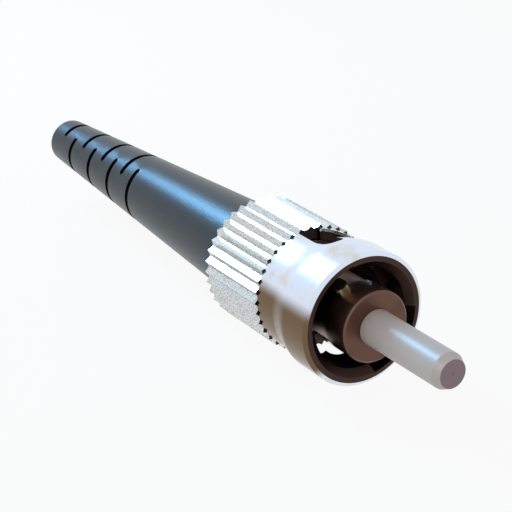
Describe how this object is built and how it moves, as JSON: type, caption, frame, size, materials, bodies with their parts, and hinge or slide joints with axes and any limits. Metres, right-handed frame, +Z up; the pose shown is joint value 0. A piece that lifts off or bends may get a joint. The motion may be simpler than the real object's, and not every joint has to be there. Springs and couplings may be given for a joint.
{
  "type": "st fibre connector",
  "caption": "Bayonet fibre optic plug with a white ceramic ferrule, a sprung knurled metal coupling nut and a tapered black slotted boot",
  "frame": {"origin": "centre of the holder's flat front face, where the ferrule comes out", "axes": "+X along the ferrule to its tip, which is the connector's long axis; +Z up; +Y completes the right-handed frame"},
  "size_m": [0.052, 0.0094, 0.0094],
  "materials": {
    "zirconia": "polished white zirconia",
    "holder_nickel": "bright nickel plate, polished",
    "key_nickel": "bright nickel plate",
    "body_nickel": "bright nickel plate",
    "liner_plastic": "natural fluoropolymer tube",
    "spring_steel": "bright drawn steel",
    "nut_nickel": "bright nickel plate, turned and knurled",
    "sleeve_nickel": "nickel plated soft brass",
    "boot_plastic": "black flexible moulded boot, fine grain"
  },
  "bodies": {
    "root": {"ferrule": "zirconia", "ferrule_holder": "holder_nickel", "alignment_key": "key_nickel", "connector_body": "body_nickel", "guide_tube": "liner_plastic", "spring": "spring_steel", "retaining_ring": "spring_steel", "crimp_sleeve": "sleeve_nickel", "boot": "boot_plastic"},
    "slider": {"spring_washer": "spring_steel"},
    "nut": {"coupling_nut": "nut_nickel"}
  },
  "joints": [
    {"name": "nut_slide", "type": "slide", "parent": "root", "child": "slider", "axis": [1, 0, 0], "range_m": [0, 0.0016], "stiffness_N_per_m": 2500, "springref_m": -0.002, "deforming": ["spring"]},
    {"name": "nut_turn", "type": "hinge", "parent": "slider", "child": "nut", "pos_m": [-0.0076, 0, 0], "axis": [1, 0, 0], "continuous": true}
  ]
}
